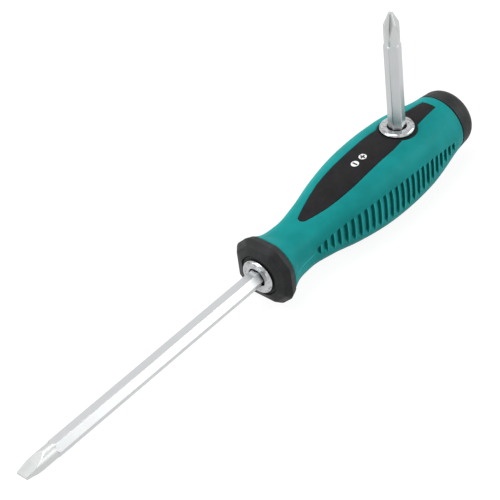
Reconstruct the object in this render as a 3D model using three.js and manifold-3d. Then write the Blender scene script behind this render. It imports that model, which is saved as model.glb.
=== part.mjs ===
// Reversible screwdriver: a soft-grip handle with a socket in its nose and another across its rear,
// each holding a double-ended hexagonal blade that pulls out, turns round and goes back in.
// Millimetres. The origin is the centre of the end cap's flat face, +X runs forward to the tip of
// the long blade and +Z along the short blade.
import * as THREE from 'three';
import { mergeVertices } from 'three/addons/utils/BufferGeometryUtils.js';
import Module from 'manifold-3d';

const wasm = await Module();
wasm.setup();

// Fits
const SEAT = 0.3;              // gap round pieces that are pressed or moulded together
const BLADE_PLAY = 0.2;        // gap between a blade's flat and its socket
const OVERRUN = 1;             // how far a cutter runs past what it cuts

// Both blades
const HEX_FLATS = 6;
const NECK_DIAMETER = 6.16;
const SHOULDER_CHAMFER = 1.1;  // length of the cone that bevels the hexagon's corners
const FRONT_ROLL = 5;          // degrees that the front hexagon is turned about its axis
const CROSS_ROLL = -17;        // degrees that the cross hexagon is turned about its axis
const LONG_REACH = 115;        // how far each blade stands out of its ferrule
const LONG_DEPTH = 45;         // how far each blade goes in
const SHORT_REACH = 50.2;
const SHORT_DEPTH = 23.2;

// Slotted tip
const SLOTTED_TIP = 13.5;      // shoulder to edge
const SLOTTED_NECK = 3.6;      // round stretch before the flats begin
const EDGE_WIDTH = 4.9;
const EDGE_THICKNESS = 1;
const EDGE_HOLLOW = 1.2;       // half thickness that each hollow flat is drawn in to
const EDGE_TAPER = 8.5;        // length over which the sides close in to the edge

// Cross tip
const CROSS_TIP = 12.7;        // shoulder to point
const POINT_ANGLE = 53;        // full angle of the cone
const POINT_FLAT = 1.9;        // diameter of the blunt end
const FLUTE_WEB = 0.62;        // distance of a flute's root from the axis at the point
const FLUTE_RUN = 10.5;
const FLUTE_OPENING = 94;      // angle between a flute's walls
const WING_TURN = -10;         // degrees from one of the hexagon's flats to the nearest wing

// Ferrules, sockets and what they hold
const FLANGE_RADIUS = 6.9;
const FLANGE_THICKNESS = 1.6;
const FLANGE_ROUND = 0.6;      // radius of the flange's outer edge
const FERRULE_HOLE = 3.7;
const FERRULE_BEVEL = 0.35;    // bevel round the hole
const BARREL_RADIUS = 6.2;
const BARREL_LENGTH = 2.6;
const RING_WIRE = 1.2;
const RING_GAP = 50;           // degrees left open in the spring ring
const SOCKET_WALL = 1.3;
const PLATE_RADIUS = 4.2;
const PLATE_THICKNESS = 1.4;

// Handle, from the rear face forward
const CAP_LENGTH = 9;
const CAP_FACE = 8.4;          // radius of the flat face
const CAP_RADIUS = 12.8;
const CAP_BAND = 4.5;          // length of the cap's side before its round
const CAP_DRAFT = 0.5;         // how much the side closes in over that length
const STEM_RADIUS = 5;
const STEM_LENGTH = 12;
const GRIP_LENGTH = 102.2;
const GRIP_WALL = 2;
const COLLAR_TAIL = 12.4;      // half the distance across the collar's flats at its rear edge
const COLLAR_HALF = 12.9;      // and where it is widest
const COLLAR_RIM = 2.9;        // length of the collar's side
const COLLAR_BEVEL = 0.9;
const COLLAR_SLOPE = 2.4;      // length of the sloping front
const COLLAR_MOUTH = 8.7;      // radius where the slope ends
const TAIL_CORNER = 1.04;      // reach of the cut corners at the rear edge, as a share of the flats' reach
const COLLAR_CORNER = 1.07;    // and where the collar is widest
const COLLAR_ROUND = 0.4;      // radius where a cut meets a flat, as a share of the same
const NOSE_RADIUS = 8;         // core inside the collar
const NOSE_RECESS = 0.4;       // depth of the ring between ferrule and collar
const CROSS_AT = 34.5;         // axis of the cross socket from the rear face
const BOSS_FACING = 0.4;       // depth that the boss is faced flat for its ferrule
const SOCKET_FLOOR = 2.8;      // core under the cross socket, at the handle's deepest
const SOCKET_ROOM = SHORT_DEPTH + BOSS_FACING - FLANGE_THICKNESS + PLATE_THICKNESS + 2 * SEAT;
const BELLY = (SOCKET_ROOM + SOCKET_FLOOR + GRIP_WALL) / 2;
const BELLY_FALL = 0.5;        // loss of half height on either side of the deepest section

// Grip sections: distance from its rear edge, half width and half height
const GIRTH = [
  [0, CAP_RADIUS, CAP_RADIUS],
  [7, 13.9, 13.4],
  [20, 15.5, BELLY - BELLY_FALL],
  [35, 16.4, BELLY],
  [50, 15.9, BELLY - BELLY_FALL],
  [65, 13.7, 12.1],
  [78, 10.8, 9.7],
  [GRIP_LENGTH - 12.2, 9.3, 8.7],
  [GRIP_LENGTH - 4.2, 10.4, 10],
  [GRIP_LENGTH, COLLAR_TAIL - SEAT, COLLAR_TAIL - SEAT],
];
const SQUARE = 3;              // exponent of the squared section, 2 being an ellipse
const ROUND_UNTIL = 2;         // distance from the grip's rear edge where the section starts to square up
const SQUARE_FROM = 24;        // and where it is fully square
const NOSE_SQUARE = 2.4;       // exponent where the grip meets the collar
const NOSE_EASE = 13;          // length over which it gets there

// Panel outline, from the rear face forward
const PANEL_TAIL = 14;
const PANEL_TAIL_HALF = 3.05;
const PANEL_FULL_AT = 46;      // where the taper from the tail reaches full width
const PANEL_CURVE_AT = 53;     // where the spear starts to close
const PANEL_HALF = 6.9;
const PANEL_TIP = 93.5;
const PANEL_TIP_RADIUS = 2;
const PANEL_TIP_LEAN = 70;     // degrees from the axis to where the tip's round ends
const PANEL_PULL = 0.4;        // fullness of the spear's curve
const BOSS_RADIUS = 7.9;

// Slots in the grip's sides
const SLOT_COUNT = 25;
const SLOT_FIRST = 17.8;       // rearmost slot from the rear face
const SLOT_PITCH = 3.22;
const SLOT_WIDTH = 1.8;
const SLOT_DEPTH = 1.1;        // depth at the middle of its floor
const SLOT_LEAN = 15;          // degrees that its floor falls away to the rear
const SLOT_HALF_END = 1.6;     // half length of the first and last slots
const SLOT_HALF_MID = 6.6;     // half length of the middle slot
const SLOT_SWELL = 0.8;        // exponent of the field's outline

// Facets
const GRIP_SIDES = 36;
const GRIP_RINGS = 26;
const BED_SIDES = 24;
const BED_RINGS = 14;
const COLLAR_CURVE = 5;        // across each round of the collar
const ROUND = 32;
const FINE_ROUND = 24;
const CURVE = 8;               // along each curve of the panel and of the slotted tip
const RING_CURVE = 14;         // along the spring ring
const CAP_CURVE = 6;           // across the cap's round
const FLANGE_CURVE = 5;        // across the flange's round

// Sizes and places that follow
const HEX_CORNER = HEX_FLATS / Math.sqrt(3);
const NECK = NECK_DIAMETER / 2;
const RING_INNER = HEX_CORNER + SEAT;
const RING_OUTER = RING_INNER + RING_WIRE;
const RING_SEAT = RING_OUTER + SEAT;
const SOCKET_BORE = HEX_FLATS + 2 * BLADE_PLAY;
const SOCKET_FLATS = SOCKET_BORE + 2 * SOCKET_WALL;
const FERRULE_LENGTH = FLANGE_THICKNESS + BARREL_LENGTH;
const GRIP_REAR = CAP_LENGTH + SEAT;
const GRIP_FRONT = GRIP_REAR + GRIP_LENGTH;
const COLLAR_REAR = GRIP_FRONT + SEAT;
const COLLAR_FRONT = COLLAR_REAR + COLLAR_RIM + COLLAR_BEVEL + COLLAR_SLOPE;
const NOSE_FACE = COLLAR_FRONT - NOSE_RECESS;
const FRONT_FACE = NOSE_FACE + SEAT + FLANGE_THICKNESS;
const GRIP_TOP = Math.max(...GIRTH.map(([, , tall]) => tall)) + OVERRUN;

const { degToRad, lerp, smoothstep } = THREE.MathUtils;

// A closed geometry as a solid that can be joined and cut
function solid(geometry) {
  const bare = geometry.index ? geometry.toNonIndexed() : geometry.clone();
  bare.deleteAttribute('normal');
  bare.deleteAttribute('uv');
  const merged = mergeVertices(bare, 1e-4);
  const index = merged.index.array;
  const kept = [];
  for (let i = 0; i < index.length; i += 3) {
    const [a, b, c] = index.slice(i, i + 3);
    if (a !== b && b !== c && c !== a) kept.push(a, b, c);
  }
  const vertProperties = new Float32Array(merged.attributes.position.array);
  const triVerts = new Uint32Array(kept);
  return new wasm.Manifold(new wasm.Mesh({ numProp: 3, vertProperties, triVerts }));
}

// A finished solid as a named mesh
function piece(name, body, material) {
  const { vertProperties, triVerts } = body.getMesh();
  const geometry = new THREE.BufferGeometry();
  geometry.setAttribute('position', new THREE.BufferAttribute(new Float32Array(vertProperties), 3));
  geometry.setIndex(new THREE.BufferAttribute(new Uint32Array(triVerts), 1));
  geometry.computeVertexNormals();
  const mesh = new THREE.Mesh(geometry, material);
  mesh.name = name;
  return mesh;
}

// A profile of [radius, height] points revolved about the Z axis
function revolve(points, segments = ROUND) {
  const profile = points.map(([radius, height]) => new THREE.Vector2(radius, height));
  return new THREE.LatheGeometry(profile, segments).rotateX(Math.PI / 2);
}

// A round bar about the Z axis between two heights
function bar(radius, from, to, segments = ROUND) {
  return revolve([[0, from], [radius, from], [radius, to], [0, to]], segments);
}

// A shape extruded along Z between two heights
function prism(shape, from, to, curveSegments = CURVE) {
  const settings = { depth: to - from, bevelEnabled: false, steps: 1, curveSegments };
  return new THREE.ExtrudeGeometry(shape, settings).translate(0, 0, from);
}

// A hexagon by its distance across flats, with corners on the Y axis
function hexagon(flats) {
  const reach = flats / Math.sqrt(3);
  const corners = [0, 1, 2, 3, 4, 5].map((i) => {
    const angle = Math.PI / 2 + i * Math.PI / 3;
    return new THREE.Vector2(reach * Math.cos(angle), reach * Math.sin(angle));
  });
  return new THREE.Shape(corners);
}

// Station, half width and half height all along the grip
const girth = new THREE.CatmullRomCurve3(
  GIRTH.map(([along, wide, tall]) => new THREE.Vector3(GRIP_REAR + along, wide, tall)),
);

// The girth at one station, found by halving
function girthAt(x) {
  let [low, high] = [0, 1];
  for (let i = 0; i < 40; i++) {
    const middle = (low + high) / 2;
    if (girth.getPoint(middle).x < x) low = middle;
    else high = middle;
  }
  return girth.getPoint(low);
}

// A ring of points on a superellipse, from +Z round towards +Y
function ring(x, wide, tall, exponent, sides) {
  const points = [];
  for (let i = 0; i < sides; i++) {
    const angle = 2 * Math.PI * i / sides;
    const [s, c] = [Math.sin(angle), Math.cos(angle)];
    const y = wide * Math.sign(s) * Math.abs(s) ** (2 / exponent);
    const z = tall * Math.sign(c) * Math.abs(c) ** (2 / exponent);
    points.push(new THREE.Vector3(x, y, z));
  }
  return points;
}

// A ring of points on a square with cut and rounded corners, from +Z round towards +Y
function cornerRing(x, half, corner) {
  const points = [];
  const turn = Math.PI / 4;
  const round = half * COLLAR_ROUND;
  for (let i = 0; i < 8; i++) {
    const [here, next] = i % 2 ? [corner, 1] : [1, corner];
    const out = half * here - round;
    const along = (half * next - round - out * Math.cos(turn)) / Math.sin(turn);
    const [s, c] = [Math.sin(i * turn), Math.cos(i * turn)];
    for (let j = 0; j <= COLLAR_CURVE; j++) {
      const angle = (i + j / COLLAR_CURVE) * turn;
      const y = out * s + along * c + round * Math.sin(angle);
      const z = out * c - along * s + round * Math.cos(angle);
      points.push(new THREE.Vector3(x, y, z));
    }
  }
  return points;
}

// A closed loft through rings that follow one another along +X
function loft(rings) {
  const sides = rings[0].length;
  const last = rings.length - 1;
  const points = rings.flat();
  const index = [];
  for (let i = 0; i < last; i++) {
    for (let j = 0; j < sides; j++) {
      const k = (j + 1) % sides;
      const [a, b] = [i * sides + j, i * sides + k];
      const [c, d] = [a + sides, b + sides];
      index.push(a, c, b, b, c, d);
    }
  }
  const rear = points.push(new THREE.Vector3(rings[0][0].x, 0, 0)) - 1;
  const front = points.push(new THREE.Vector3(rings[last][0].x, 0, 0)) - 1;
  for (let j = 0; j < sides; j++) {
    const k = (j + 1) % sides;
    index.push(rear, j, k, front, last * sides + k, last * sides + j);
  }
  return new THREE.BufferGeometry().setFromPoints(points).setIndex(index);
}

// The grip's form drawn in by an even wall, run on past both ends where it is to cut right through
function gripForm(wall, sides, rings, overrun = 0) {
  const sections = [];
  for (let i = 0; i <= rings; i++) {
    const { x, y: wide, z: tall } = girth.getPoint(i / rings);
    const squared = lerp(2, SQUARE, smoothstep(x - GRIP_REAR, ROUND_UNTIL, SQUARE_FROM));
    const exponent = lerp(squared, NOSE_SQUARE, smoothstep(x, GRIP_FRONT - NOSE_EASE, GRIP_FRONT));
    const section = (at) => ring(at, wide - wall, tall - wall, exponent, sides);
    if (overrun && i === 0) sections.push(section(x - overrun));
    sections.push(section(x));
    if (overrun && i === rings) sections.push(section(x + overrun));
  }
  return solid(loft(sections));
}

// The panel's outline seen from above: a spear with a square tail
function panelOutline(grow) {
  const half = PANEL_HALF + grow;
  const tail = PANEL_TAIL - grow;
  const tailHalf = PANEL_TAIL_HALF + grow;
  const tipRadius = PANEL_TIP_RADIUS + grow;
  const tipCentre = PANEL_TIP - PANEL_TIP_RADIUS;
  const lean = degToRad(PANEL_TIP_LEAN);
  const tipX = tipCentre + tipRadius * Math.cos(lean);
  const tipY = tipRadius * Math.sin(lean);
  const pull = (tipX - PANEL_CURVE_AT) * PANEL_PULL;
  const nearTip = [tipX - pull, tipY + pull / Math.tan(lean)];
  const shape = new THREE.Shape();
  shape.moveTo(tail, -tailHalf);
  shape.lineTo(PANEL_FULL_AT, -half);
  shape.lineTo(PANEL_CURVE_AT, -half);
  shape.bezierCurveTo(PANEL_CURVE_AT + pull, -half, nearTip[0], -nearTip[1], tipX, -tipY);
  shape.absarc(tipCentre, 0, tipRadius, -lean, lean, false);
  shape.bezierCurveTo(nearTip[0], nearTip[1], PANEL_CURVE_AT + pull, half, PANEL_CURVE_AT, half);
  shape.lineTo(PANEL_FULL_AT, half);
  shape.lineTo(tail, tailHalf);
  shape.closePath();
  return shape;
}

// The panel's outline and its round boss as an upright block through the top of the handle
function panelBlock(grow) {
  const boss = bar(BOSS_RADIUS + grow, 0, GRIP_TOP).translate(CROSS_AT, 0, 0);
  return solid(prism(panelOutline(grow), 0, GRIP_TOP)).add(solid(boss));
}

// A slot with pointed ends cut into one side of the grip, its floor falling away to the rear
function sideSlot(x, halfLength, side) {
  const half = SLOT_WIDTH / 2;
  const straight = halfLength - half;
  const outline = [[0, -halfLength], [half, -straight], [half, straight]];
  outline.push([0, halfLength], [-half, straight], [-half, -straight]);
  const shape = new THREE.Shape(outline.map(([along, up]) => new THREE.Vector2(along, up)));
  const cutter = prism(shape, 0, 4 * SLOT_DEPTH).rotateY(-degToRad(SLOT_LEAN));
  cutter.rotateX(-Math.PI / 2).translate(0, girthAt(x).y - SLOT_DEPTH, 0);
  if (side < 0) cutter.rotateX(Math.PI);
  return solid(cutter.translate(x, 0, 0));
}

// Soft grip: a hollow lofted form with the panel's window and two fields of slots
function makeGrip(form, bed) {
  let grip = form.subtract(bed).subtract(panelBlock(SEAT));
  for (let i = 0; i < SLOT_COUNT; i++) {
    const swell = Math.sin(Math.PI * i / (SLOT_COUNT - 1)) ** SLOT_SWELL;
    const halfLength = lerp(SLOT_HALF_END, SLOT_HALF_MID, swell);
    for (const side of [1, -1]) {
      grip = grip.subtract(sideSlot(SLOT_FIRST + i * SLOT_PITCH, halfLength, side));
    }
  }
  return grip;
}

// Panel: the part of the handle's skin inside the outline, faced and bored for the cross ferrule
function makePanel(form, bed, crossSeat) {
  const facing = bar(FLANGE_RADIUS + SEAT, crossSeat, GRIP_TOP).translate(CROSS_AT, 0, 0);
  const hole = bar(BARREL_RADIUS + SEAT, 0, GRIP_TOP).translate(CROSS_AT, 0, 0);
  return form.intersect(panelBlock(0)).subtract(bed).subtract(solid(facing)).subtract(solid(hole));
}

// Collar: a square ring with cut corners, whose front slopes in to a round mouth
function makeCollar() {
  const rim = COLLAR_REAR + COLLAR_RIM;
  const outline = cornerRing(0, COLLAR_HALF, COLLAR_CORNER);
  const mouth = outline.map((point) => point.clone().setLength(COLLAR_MOUTH).setX(COLLAR_FRONT));
  const body = solid(loft([
    cornerRing(COLLAR_REAR, COLLAR_TAIL, TAIL_CORNER),
    cornerRing(rim, COLLAR_HALF, COLLAR_CORNER),
    cornerRing(rim + COLLAR_BEVEL, COLLAR_HALF - COLLAR_BEVEL, COLLAR_CORNER),
    mouth,
  ]));
  const bore = bar(NOSE_RADIUS + SEAT, COLLAR_REAR - OVERRUN, COLLAR_FRONT + OVERRUN);
  return body.subtract(solid(bore.rotateY(Math.PI / 2)));
}

// End cap: a round band closing in to a flat face, with a stem that holds it in the core
function makeCap() {
  const side = CAP_RADIUS - CAP_DRAFT;
  const [across, deep] = [side - CAP_FACE, CAP_LENGTH - CAP_BAND];
  const points = [[0, 0]];
  for (let i = 0; i <= CAP_CURVE; i++) {
    const angle = Math.PI / 2 * i / CAP_CURVE;
    points.push([CAP_FACE + across * Math.sin(angle), deep * (1 - Math.cos(angle))]);
  }
  const stemEnd = CAP_LENGTH + STEM_LENGTH;
  points.push([CAP_RADIUS, CAP_LENGTH], [STEM_RADIUS, CAP_LENGTH], [STEM_RADIUS, stemEnd - SEAT]);
  points.push([STEM_RADIUS - SEAT, stemEnd], [0, stemEnd]);
  return solid(revolve(points).rotateY(Math.PI / 2));
}

// Core: the form inside the grip and a nose inside the collar, pocketed for both sockets and the cap
function makeCore(frontPlace, crossPlace) {
  const nose = bar(NOSE_RADIUS, GRIP_FRONT - COLLAR_RIM, NOSE_FACE).rotateY(Math.PI / 2);
  const stemHole = bar(STEM_RADIUS + SEAT, 0, CAP_LENGTH + STEM_LENGTH + SEAT).rotateY(Math.PI / 2);
  return gripForm(GRIP_WALL + SEAT, BED_SIDES, BED_RINGS)
    .add(solid(nose))
    .subtract(solid(stemHole))
    .subtract(pocket(LONG_DEPTH, frontPlace))
    .subtract(pocket(SHORT_DEPTH, crossPlace));
}

// What a socket and the pieces in it take out of the core, below the plane of the ferrule's face
function pocket(depth, place) {
  const floor = -depth - PLATE_THICKNESS - 2 * SEAT;
  const barrel = bar(BARREL_RADIUS + SEAT, -FERRULE_LENGTH - SEAT, FLANGE_RADIUS);
  const sleeve = prism(hexagon(SOCKET_FLATS + 2 * SEAT), -depth - SEAT, -FERRULE_LENGTH + SEAT);
  const plate = bar(PLATE_RADIUS + SEAT, floor, -depth, FINE_ROUND);
  const cut = (geometry) => solid(geometry.applyMatrix4(place));
  return cut(barrel).add(cut(sleeve)).add(cut(plate));
}

// Ferrule: a rounded flange on a short barrel, bored for the blade and counterbored for the spring ring
function makeFerrule() {
  const step = -FERRULE_LENGTH + RING_WIRE + 2 * SEAT;
  const points = [[FERRULE_HOLE, step], [RING_SEAT, step], [RING_SEAT, -FERRULE_LENGTH]];
  points.push([BARREL_RADIUS, -FERRULE_LENGTH], [BARREL_RADIUS, -FLANGE_THICKNESS]);
  points.push([FLANGE_RADIUS, -FLANGE_THICKNESS]);
  for (let i = 0; i <= FLANGE_CURVE; i++) {
    const angle = Math.PI / 2 * i / FLANGE_CURVE;
    const inset = FLANGE_ROUND * (1 - Math.cos(angle));
    points.push([FLANGE_RADIUS - inset, -FLANGE_ROUND * (1 - Math.sin(angle))]);
  }
  points.push([FERRULE_HOLE + FERRULE_BEVEL, 0], [FERRULE_HOLE, -FERRULE_BEVEL], points[0]);
  return solid(revolve(points));
}

// Spring ring: an open flat ring that lies in the ferrule's counterbore
function makeRing() {
  const half = degToRad(RING_GAP / 2);
  const shape = new THREE.Shape();
  shape.absarc(0, 0, RING_OUTER, half, 2 * Math.PI - half, false);
  shape.absarc(0, 0, RING_INNER, 2 * Math.PI - half, half, true);
  shape.closePath();
  const rear = -FERRULE_LENGTH + SEAT;
  return solid(prism(shape, rear, rear + RING_WIRE, RING_CURVE));
}

// Socket: a hexagonal sleeve, with a hexagonal bore, from the ferrule down to the thrust plate
function makeSocket(depth) {
  const sleeve = prism(hexagon(SOCKET_FLATS), -depth, -FERRULE_LENGTH - SEAT);
  const bore = prism(hexagon(SOCKET_BORE), -depth - OVERRUN, -FERRULE_LENGTH + OVERRUN);
  return solid(sleeve).subtract(solid(bore));
}

// Thrust plate: the hard disc that the blade's inner end bears on
function makePlate(depth) {
  return solid(bar(PLATE_RADIUS, -depth - SEAT - PLATE_THICKNESS, -depth - SEAT, FINE_ROUND));
}

// Slotted tip: a round neck ground to two hollow flats and narrowed to its edge
function slottedTip(place) {
  const [half, edge] = [EDGE_THICKNESS / 2, EDGE_WIDTH / 2];
  const root = -SHOULDER_CHAMFER;
  const flats = new THREE.Shape();
  flats.moveTo(-NECK_DIAMETER, root);
  flats.lineTo(NECK_DIAMETER, root);
  flats.lineTo(NECK_DIAMETER, SLOTTED_NECK);
  flats.lineTo(NECK, SLOTTED_NECK);
  flats.quadraticCurveTo(EDGE_HOLLOW, (SLOTTED_NECK + SLOTTED_TIP) / 2, half, SLOTTED_TIP);
  flats.lineTo(-half, SLOTTED_TIP);
  flats.quadraticCurveTo(-EDGE_HOLLOW, (SLOTTED_NECK + SLOTTED_TIP) / 2, -NECK, SLOTTED_NECK);
  flats.lineTo(-NECK_DIAMETER, SLOTTED_NECK);
  const sides = new THREE.Shape();
  sides.moveTo(-NECK, root);
  sides.lineTo(NECK, root);
  sides.lineTo(NECK, SLOTTED_TIP - EDGE_TAPER);
  sides.lineTo(edge, SLOTTED_TIP);
  sides.lineTo(-edge, SLOTTED_TIP);
  sides.lineTo(-NECK, SLOTTED_TIP - EDGE_TAPER);
  const neck = bar(NECK, root, SLOTTED_TIP, FINE_ROUND).applyMatrix4(place);
  const across = (shape) => prism(shape, -NECK_DIAMETER, NECK_DIAMETER).rotateX(Math.PI / 2);
  const thick = across(flats).applyMatrix4(place);
  const wide = across(sides).rotateZ(Math.PI / 2).applyMatrix4(place);
  return solid(neck).intersect(solid(thick)).intersect(solid(wide));
}

// Cross tip: a round neck and a blunt cone, with four flutes that leave four wings
function crossTip(place) {
  const blunt = POINT_FLAT / 2;
  const cone = CROSS_TIP - (NECK - blunt) / Math.tan(degToRad(POINT_ANGLE / 2));
  const root = -SHOULDER_CHAMFER;
  const points = [[0, root], [NECK, root], [NECK, cone], [blunt, CROSS_TIP], [0, CROSS_TIP]];
  let tip = solid(revolve(points, FINE_ROUND).applyMatrix4(place));
  const spread = NECK_DIAMETER * Math.tan(degToRad(FLUTE_OPENING / 2));
  const vee = [[0, 0], [NECK_DIAMETER, -spread], [NECK_DIAMETER, spread]];
  const shape = new THREE.Shape(vee.map(([x, y]) => new THREE.Vector2(x, y)));
  const lean = Math.atan((NECK - FLUTE_WEB) / FLUTE_RUN);
  for (let i = 0; i < 4; i++) {
    const flute = prism(shape, -2 * FLUTE_RUN, FLUTE_RUN).rotateY(-lean);
    const turn = degToRad(WING_TURN + 45 + i * 90);
    flute.translate(FLUTE_WEB, 0, CROSS_TIP).rotateZ(turn);
    tip = tip.subtract(solid(flute.applyMatrix4(place)));
  }
  return tip;
}

// Blade: a hexagonal bar with bevelled shoulders between an outer and an inner tip
function makeBlade(reach, depth, outer, inner) {
  const [low, high] = [-depth + inner.length, reach - outer.length];
  const flat = HEX_FLATS / 2;
  const clear = flat + 2 * (HEX_CORNER - flat);
  const bevel = 2 * SHOULDER_CHAMFER;
  const points = [[0, low], [flat, low], [clear, low + bevel]];
  points.push([clear, high - bevel], [flat, high], [0, high]);
  const body = solid(prism(hexagon(HEX_FLATS), low, high)).intersect(solid(revolve(points)));
  const outerPlace = new THREE.Matrix4().makeTranslation(0, 0, high);
  const innerPlace = new THREE.Matrix4().makeTranslation(0, 0, low);
  innerPlace.multiply(new THREE.Matrix4().makeRotationX(Math.PI));
  return body.add(outer.make(outerPlace)).add(inner.make(innerPlace));
}

// Finishes
function finish(color, roughness, metalness) {
  return new THREE.MeshStandardMaterial({ color, roughness, metalness });
}
const softRubber = finish(0x22888a, 0.55, 0);
const hardPlastic = finish(0x2c3232, 0.5, 0);
const panelPlastic = finish(0x1d1d1f, 0.45, 0);
const chromePlate = finish(0xd8dadc, 0.15, 1);
const plainSteel = finish(0x8c8f92, 0.35, 1);

// A ferrule, socket, ring and plate with its blade, about an axis that leaves the handle along +Z
function socketGroup(name, bladeName, depth, blade) {
  const group = new THREE.Group();
  group.add(
    piece(`${name}_ferrule`, makeFerrule(), chromePlate),
    piece(`${name}_retaining_ring`, makeRing(), plainSteel),
    piece(`${name}_socket`, makeSocket(depth), plainSteel),
    piece(`${name}_thrust_plate`, makePlate(depth), plainSteel),
    piece(bladeName, blade, chromePlate),
  );
  return group;
}

// Assembly
const slotted = { length: SLOTTED_TIP, make: slottedTip };
const crossed = { length: CROSS_TIP, make: crossTip };

const longBlade = makeBlade(LONG_REACH, LONG_DEPTH, slotted, crossed);
const front = socketGroup('front', 'long_blade', LONG_DEPTH, longBlade);
front.position.set(FRONT_FACE, 0, 0);
front.rotation.set(degToRad(FRONT_ROLL), Math.PI / 2, 0);
front.updateMatrix();

const crossSeat = girthAt(CROSS_AT).z - BOSS_FACING;
const shortBlade = makeBlade(SHORT_REACH, SHORT_DEPTH, crossed, slotted);
const cross = socketGroup('cross', 'short_blade', SHORT_DEPTH, shortBlade);
cross.position.set(CROSS_AT, 0, crossSeat + SEAT + FLANGE_THICKNESS);
cross.rotation.set(0, 0, degToRad(CROSS_ROLL));
cross.updateMatrix();

const form = gripForm(0, GRIP_SIDES, GRIP_RINGS);
const bed = gripForm(GRIP_WALL, BED_SIDES, BED_RINGS, OVERRUN);

const handle = new THREE.Group();
handle.add(
  piece('handle_core', makeCore(front.matrix, cross.matrix), hardPlastic),
  piece('grip_sleeve', makeGrip(form, bed), softRubber),
  piece('panel_inlay', makePanel(form, bed, crossSeat), panelPlastic),
  piece('front_collar', makeCollar(), hardPlastic),
  piece('end_cap', makeCap(), hardPlastic),
);

const screwdriver = new THREE.Group();
screwdriver.add(handle, front, cross);

export default screwdriver;
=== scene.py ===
"""Looks of a reversible screwdriver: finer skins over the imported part, their finishes and the stage."""
import math

import bmesh
import bpy
import numpy as np
from mathutils import Matrix, Vector


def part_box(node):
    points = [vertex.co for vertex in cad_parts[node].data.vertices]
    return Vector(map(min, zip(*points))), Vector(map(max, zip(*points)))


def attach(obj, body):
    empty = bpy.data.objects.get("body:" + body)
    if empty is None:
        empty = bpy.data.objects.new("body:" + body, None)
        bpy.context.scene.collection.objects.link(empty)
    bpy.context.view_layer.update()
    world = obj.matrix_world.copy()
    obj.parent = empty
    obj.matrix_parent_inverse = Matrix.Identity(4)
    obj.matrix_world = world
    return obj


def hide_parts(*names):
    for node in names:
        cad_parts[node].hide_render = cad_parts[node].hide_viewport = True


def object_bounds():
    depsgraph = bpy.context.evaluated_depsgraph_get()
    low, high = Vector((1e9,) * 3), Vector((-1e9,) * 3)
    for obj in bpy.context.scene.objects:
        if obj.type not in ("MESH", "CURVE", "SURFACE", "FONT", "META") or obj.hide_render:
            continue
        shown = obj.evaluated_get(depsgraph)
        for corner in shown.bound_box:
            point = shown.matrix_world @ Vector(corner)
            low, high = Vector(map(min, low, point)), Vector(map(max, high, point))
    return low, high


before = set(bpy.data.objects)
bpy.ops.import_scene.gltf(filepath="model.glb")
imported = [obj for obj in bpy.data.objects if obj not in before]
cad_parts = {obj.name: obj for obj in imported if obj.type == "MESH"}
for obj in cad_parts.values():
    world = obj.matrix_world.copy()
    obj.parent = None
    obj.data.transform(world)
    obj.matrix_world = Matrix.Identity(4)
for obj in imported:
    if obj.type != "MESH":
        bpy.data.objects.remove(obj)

bl_info = {
    "name": "Reversible screwdriver",
    "version": (1, 0, 0),
    "blender": (4, 5, 0),
    "location": "View3D > Sidebar > Screwdriver",
    "description": "Builds the handle, ferrules and two reversible blades of a screwdriver",
    "category": "Object",
}

MM = 0.001
CAD_BOX = [[float(value) for value in corner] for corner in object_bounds()]


def span(node, axis):
    """Lowest and highest place of a CAD node along one axis."""
    low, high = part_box(node)
    return low[axis], high[axis]


# Places taken from the frame
GRIP_REAR, GRIP_FRONT = span("grip_sleeve", 0)
COLLAR_REAR, COLLAR_FRONT = span("front_collar", 0)
COLLAR_HALF = span("front_collar", 1)[1]
CAP_REAR = span("end_cap", 0)[0]
CAP_RADIUS = span("end_cap", 1)[1]
PANEL_TAIL, PANEL_TIP = span("panel_inlay", 0)
BOSS_RADIUS = span("panel_inlay", 1)[1]
FRONT_FACE = span("front_ferrule", 0)[1]
CROSS_AT = sum(span("cross_ferrule", 0)) / 2
CROSS_FACE = span("cross_ferrule", 2)[1]
LONG_END, LONG_TIP = span("long_blade", 0)
SHORT_END, SHORT_TIP = span("short_blade", 2)
FLOOR_LEVEL = CAD_BOX[0][2]

# Sizes that more than one piece needs
RUBBER_FRONT = COLLAR_REAR - 0.1 * MM
FLANGE_RADIUS = 6.9 * MM
TIP_LENGTH = {"slotted": 13.5 * MM, "crossed": 12.7 * MM}

# Turn of each blade about its length, and of the wings on the bar
LONG_ROLL = math.radians(5)
SHORT_ROLL = math.radians(-17)
WING_TURN = math.radians(10)

# Girth of the handle: place from the rubber's rear edge, half width, half height
GIRTH = MM * np.array([
    [0, 12.8, 12.8],
    [7, 13.9, 13.4],
    [20, 15.5, 13.9],
    [35, 16.39, 14.39],
    [50, 15.9, 13.9],
    [65, 13.7, 12.1],
    [78, 10.8, 9.7],
    [90, 9.3, 8.7],
    [98, 10.4, 10],
    [102.2, 12.1, 12.1],
])

# Exponent of the handle's section at the rear, belly and nose, and the stretches over which it changes
REAR_POWER, BELLY_POWER, NOSE_POWER = 2, 3, 2.4
REAR_CHANGE = (2 * MM, 24 * MM)
NOSE_CHANGE = (89.2 * MM, 102.2 * MM)


# Settings that a user would change

def linear(code):
    """Turns an sRGB hex code into linear red, green, blue and alpha."""
    levels = [int(code[i:i + 2], 16) / 255 for i in (1, 3, 5)]
    return [v / 12.92 if v <= 0.04045 else ((v + 0.055) / 1.055) ** 2.4 for v in levels] + [1.0]


def length(label, text, size):
    """A length property given in millimetres."""
    return bpy.props.FloatProperty(
        name=label, description=text, default=size * MM, unit="LENGTH", precision=5)


def colour(label, text, code):
    """A colour property given as a hex code."""
    return bpy.props.FloatVectorProperty(
        name=label, description=text, default=linear(code), size=4, subtype="COLOR", min=0, max=1)


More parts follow.
